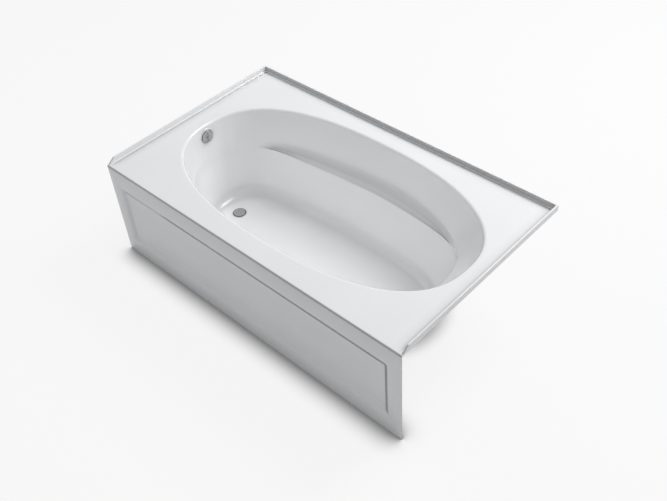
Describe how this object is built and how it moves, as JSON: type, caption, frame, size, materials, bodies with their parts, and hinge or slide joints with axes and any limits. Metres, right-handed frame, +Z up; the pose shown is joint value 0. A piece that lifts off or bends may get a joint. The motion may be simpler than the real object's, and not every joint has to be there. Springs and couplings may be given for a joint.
{
  "type": "alcove bathtub",
  "caption": "Alcove bathtub with an oval basin, armrest ledges, a tile flange on three sides, a recessed-panel apron, and a trip lever that lifts the drain stopper.",
  "frame": {"origin": "on the floor, under the middle of the tub's outer box", "axes": "+X along the tub from the drain end to the backrest end, -Y out of the apron's face into the room, +Z up"},
  "size_m": [1.829, 1.067, 0.572],
  "materials": {
    "acrylic_shell": "smooth white gloss",
    "acrylic_apron": "smooth white gloss",
    "timber": "plain sawn",
    "chrome_trim": "polished",
    "black_rubber": "matt",
    "pipe_plastic": "moulded",
    "plain_brass": "plain drawn and cast",
    "bracket_steel": "stamped"
  },
  "bodies": {
    "tub": {"apron_backer_board": "timber", "apron_bottom_rail": "timber", "apron_post_left": "timber", "apron_post_right": "timber", "base_board": "timber", "base_runner_1": "timber", "base_runner_2": "timber", "base_runner_3": "timber", "base_runner_4": "timber", "base_runner_5": "timber", "deck_rail_back": "timber", "deck_rail_front": "timber", "deck_rail_left": "timber", "deck_rail_right": "timber", "drain_flange": "chrome_trim", "drain_gasket": "black_rubber", "drain_shoe": "plain_brass", "front_apron": "acrylic_apron", "lever_bracket": "bracket_steel", "lever_pin": "bracket_steel", "overflow_elbow": "pipe_plastic", "overflow_gasket": "black_rubber", "overflow_plate": "chrome_trim", "overflow_screws": "chrome_trim", "overflow_tube": "pipe_plastic", "slip_nuts": "pipe_plastic", "slip_washers": "black_rubber", "tub_shell": "acrylic_shell", "waste_tee": "pipe_plastic"},
    "trip_lever": {"trip_lever": "chrome_trim"},
    "lift_linkage": {"linkage_yoke": "plain_brass", "linkage_rod": "plain_brass", "linkage_locknut": "plain_brass", "linkage_striker": "plain_brass"},
    "rocker": {"rocker_arm": "plain_brass"},
    "stopper": {"stopper_cap": "chrome_trim", "stopper_seal": "black_rubber", "stopper_stem": "plain_brass", "stem_button": "plain_brass"}
  },
  "joints": [
    {"name": "lever_hinge", "type": "hinge", "parent": "tub", "child": "trip_lever", "pos_m": [-0.78675, -0.022, 0.482], "axis": [0, -1, 0], "range_deg": [0, 36]},
    {"name": "linkage_slide", "type": "slide", "parent": "tub", "child": "lift_linkage", "axis": [0, 0, -1], "range_m": [0, 0.01576]},
    {"name": "rocker_hinge", "type": "hinge", "parent": "tub", "child": "rocker", "pos_m": [-0.687, -0.022, 0.01383], "axis": [0, -1, 0], "range_deg": [0, 7.2]},
    {"name": "stopper_slide", "type": "slide", "parent": "tub", "child": "stopper", "axis": [0, 0, 1], "range_m": [0, 0.0083]}
  ],
  "couplings": [
    {"joint": "lever_hinge", "follows": "linkage_slide", "rad_per_m": 39.868},
    {"joint": "rocker_hinge", "follows": "linkage_slide", "rad_per_m": 7.976},
    {"joint": "stopper_slide", "follows": "linkage_slide", "ratio": 0.52665}
  ]
}
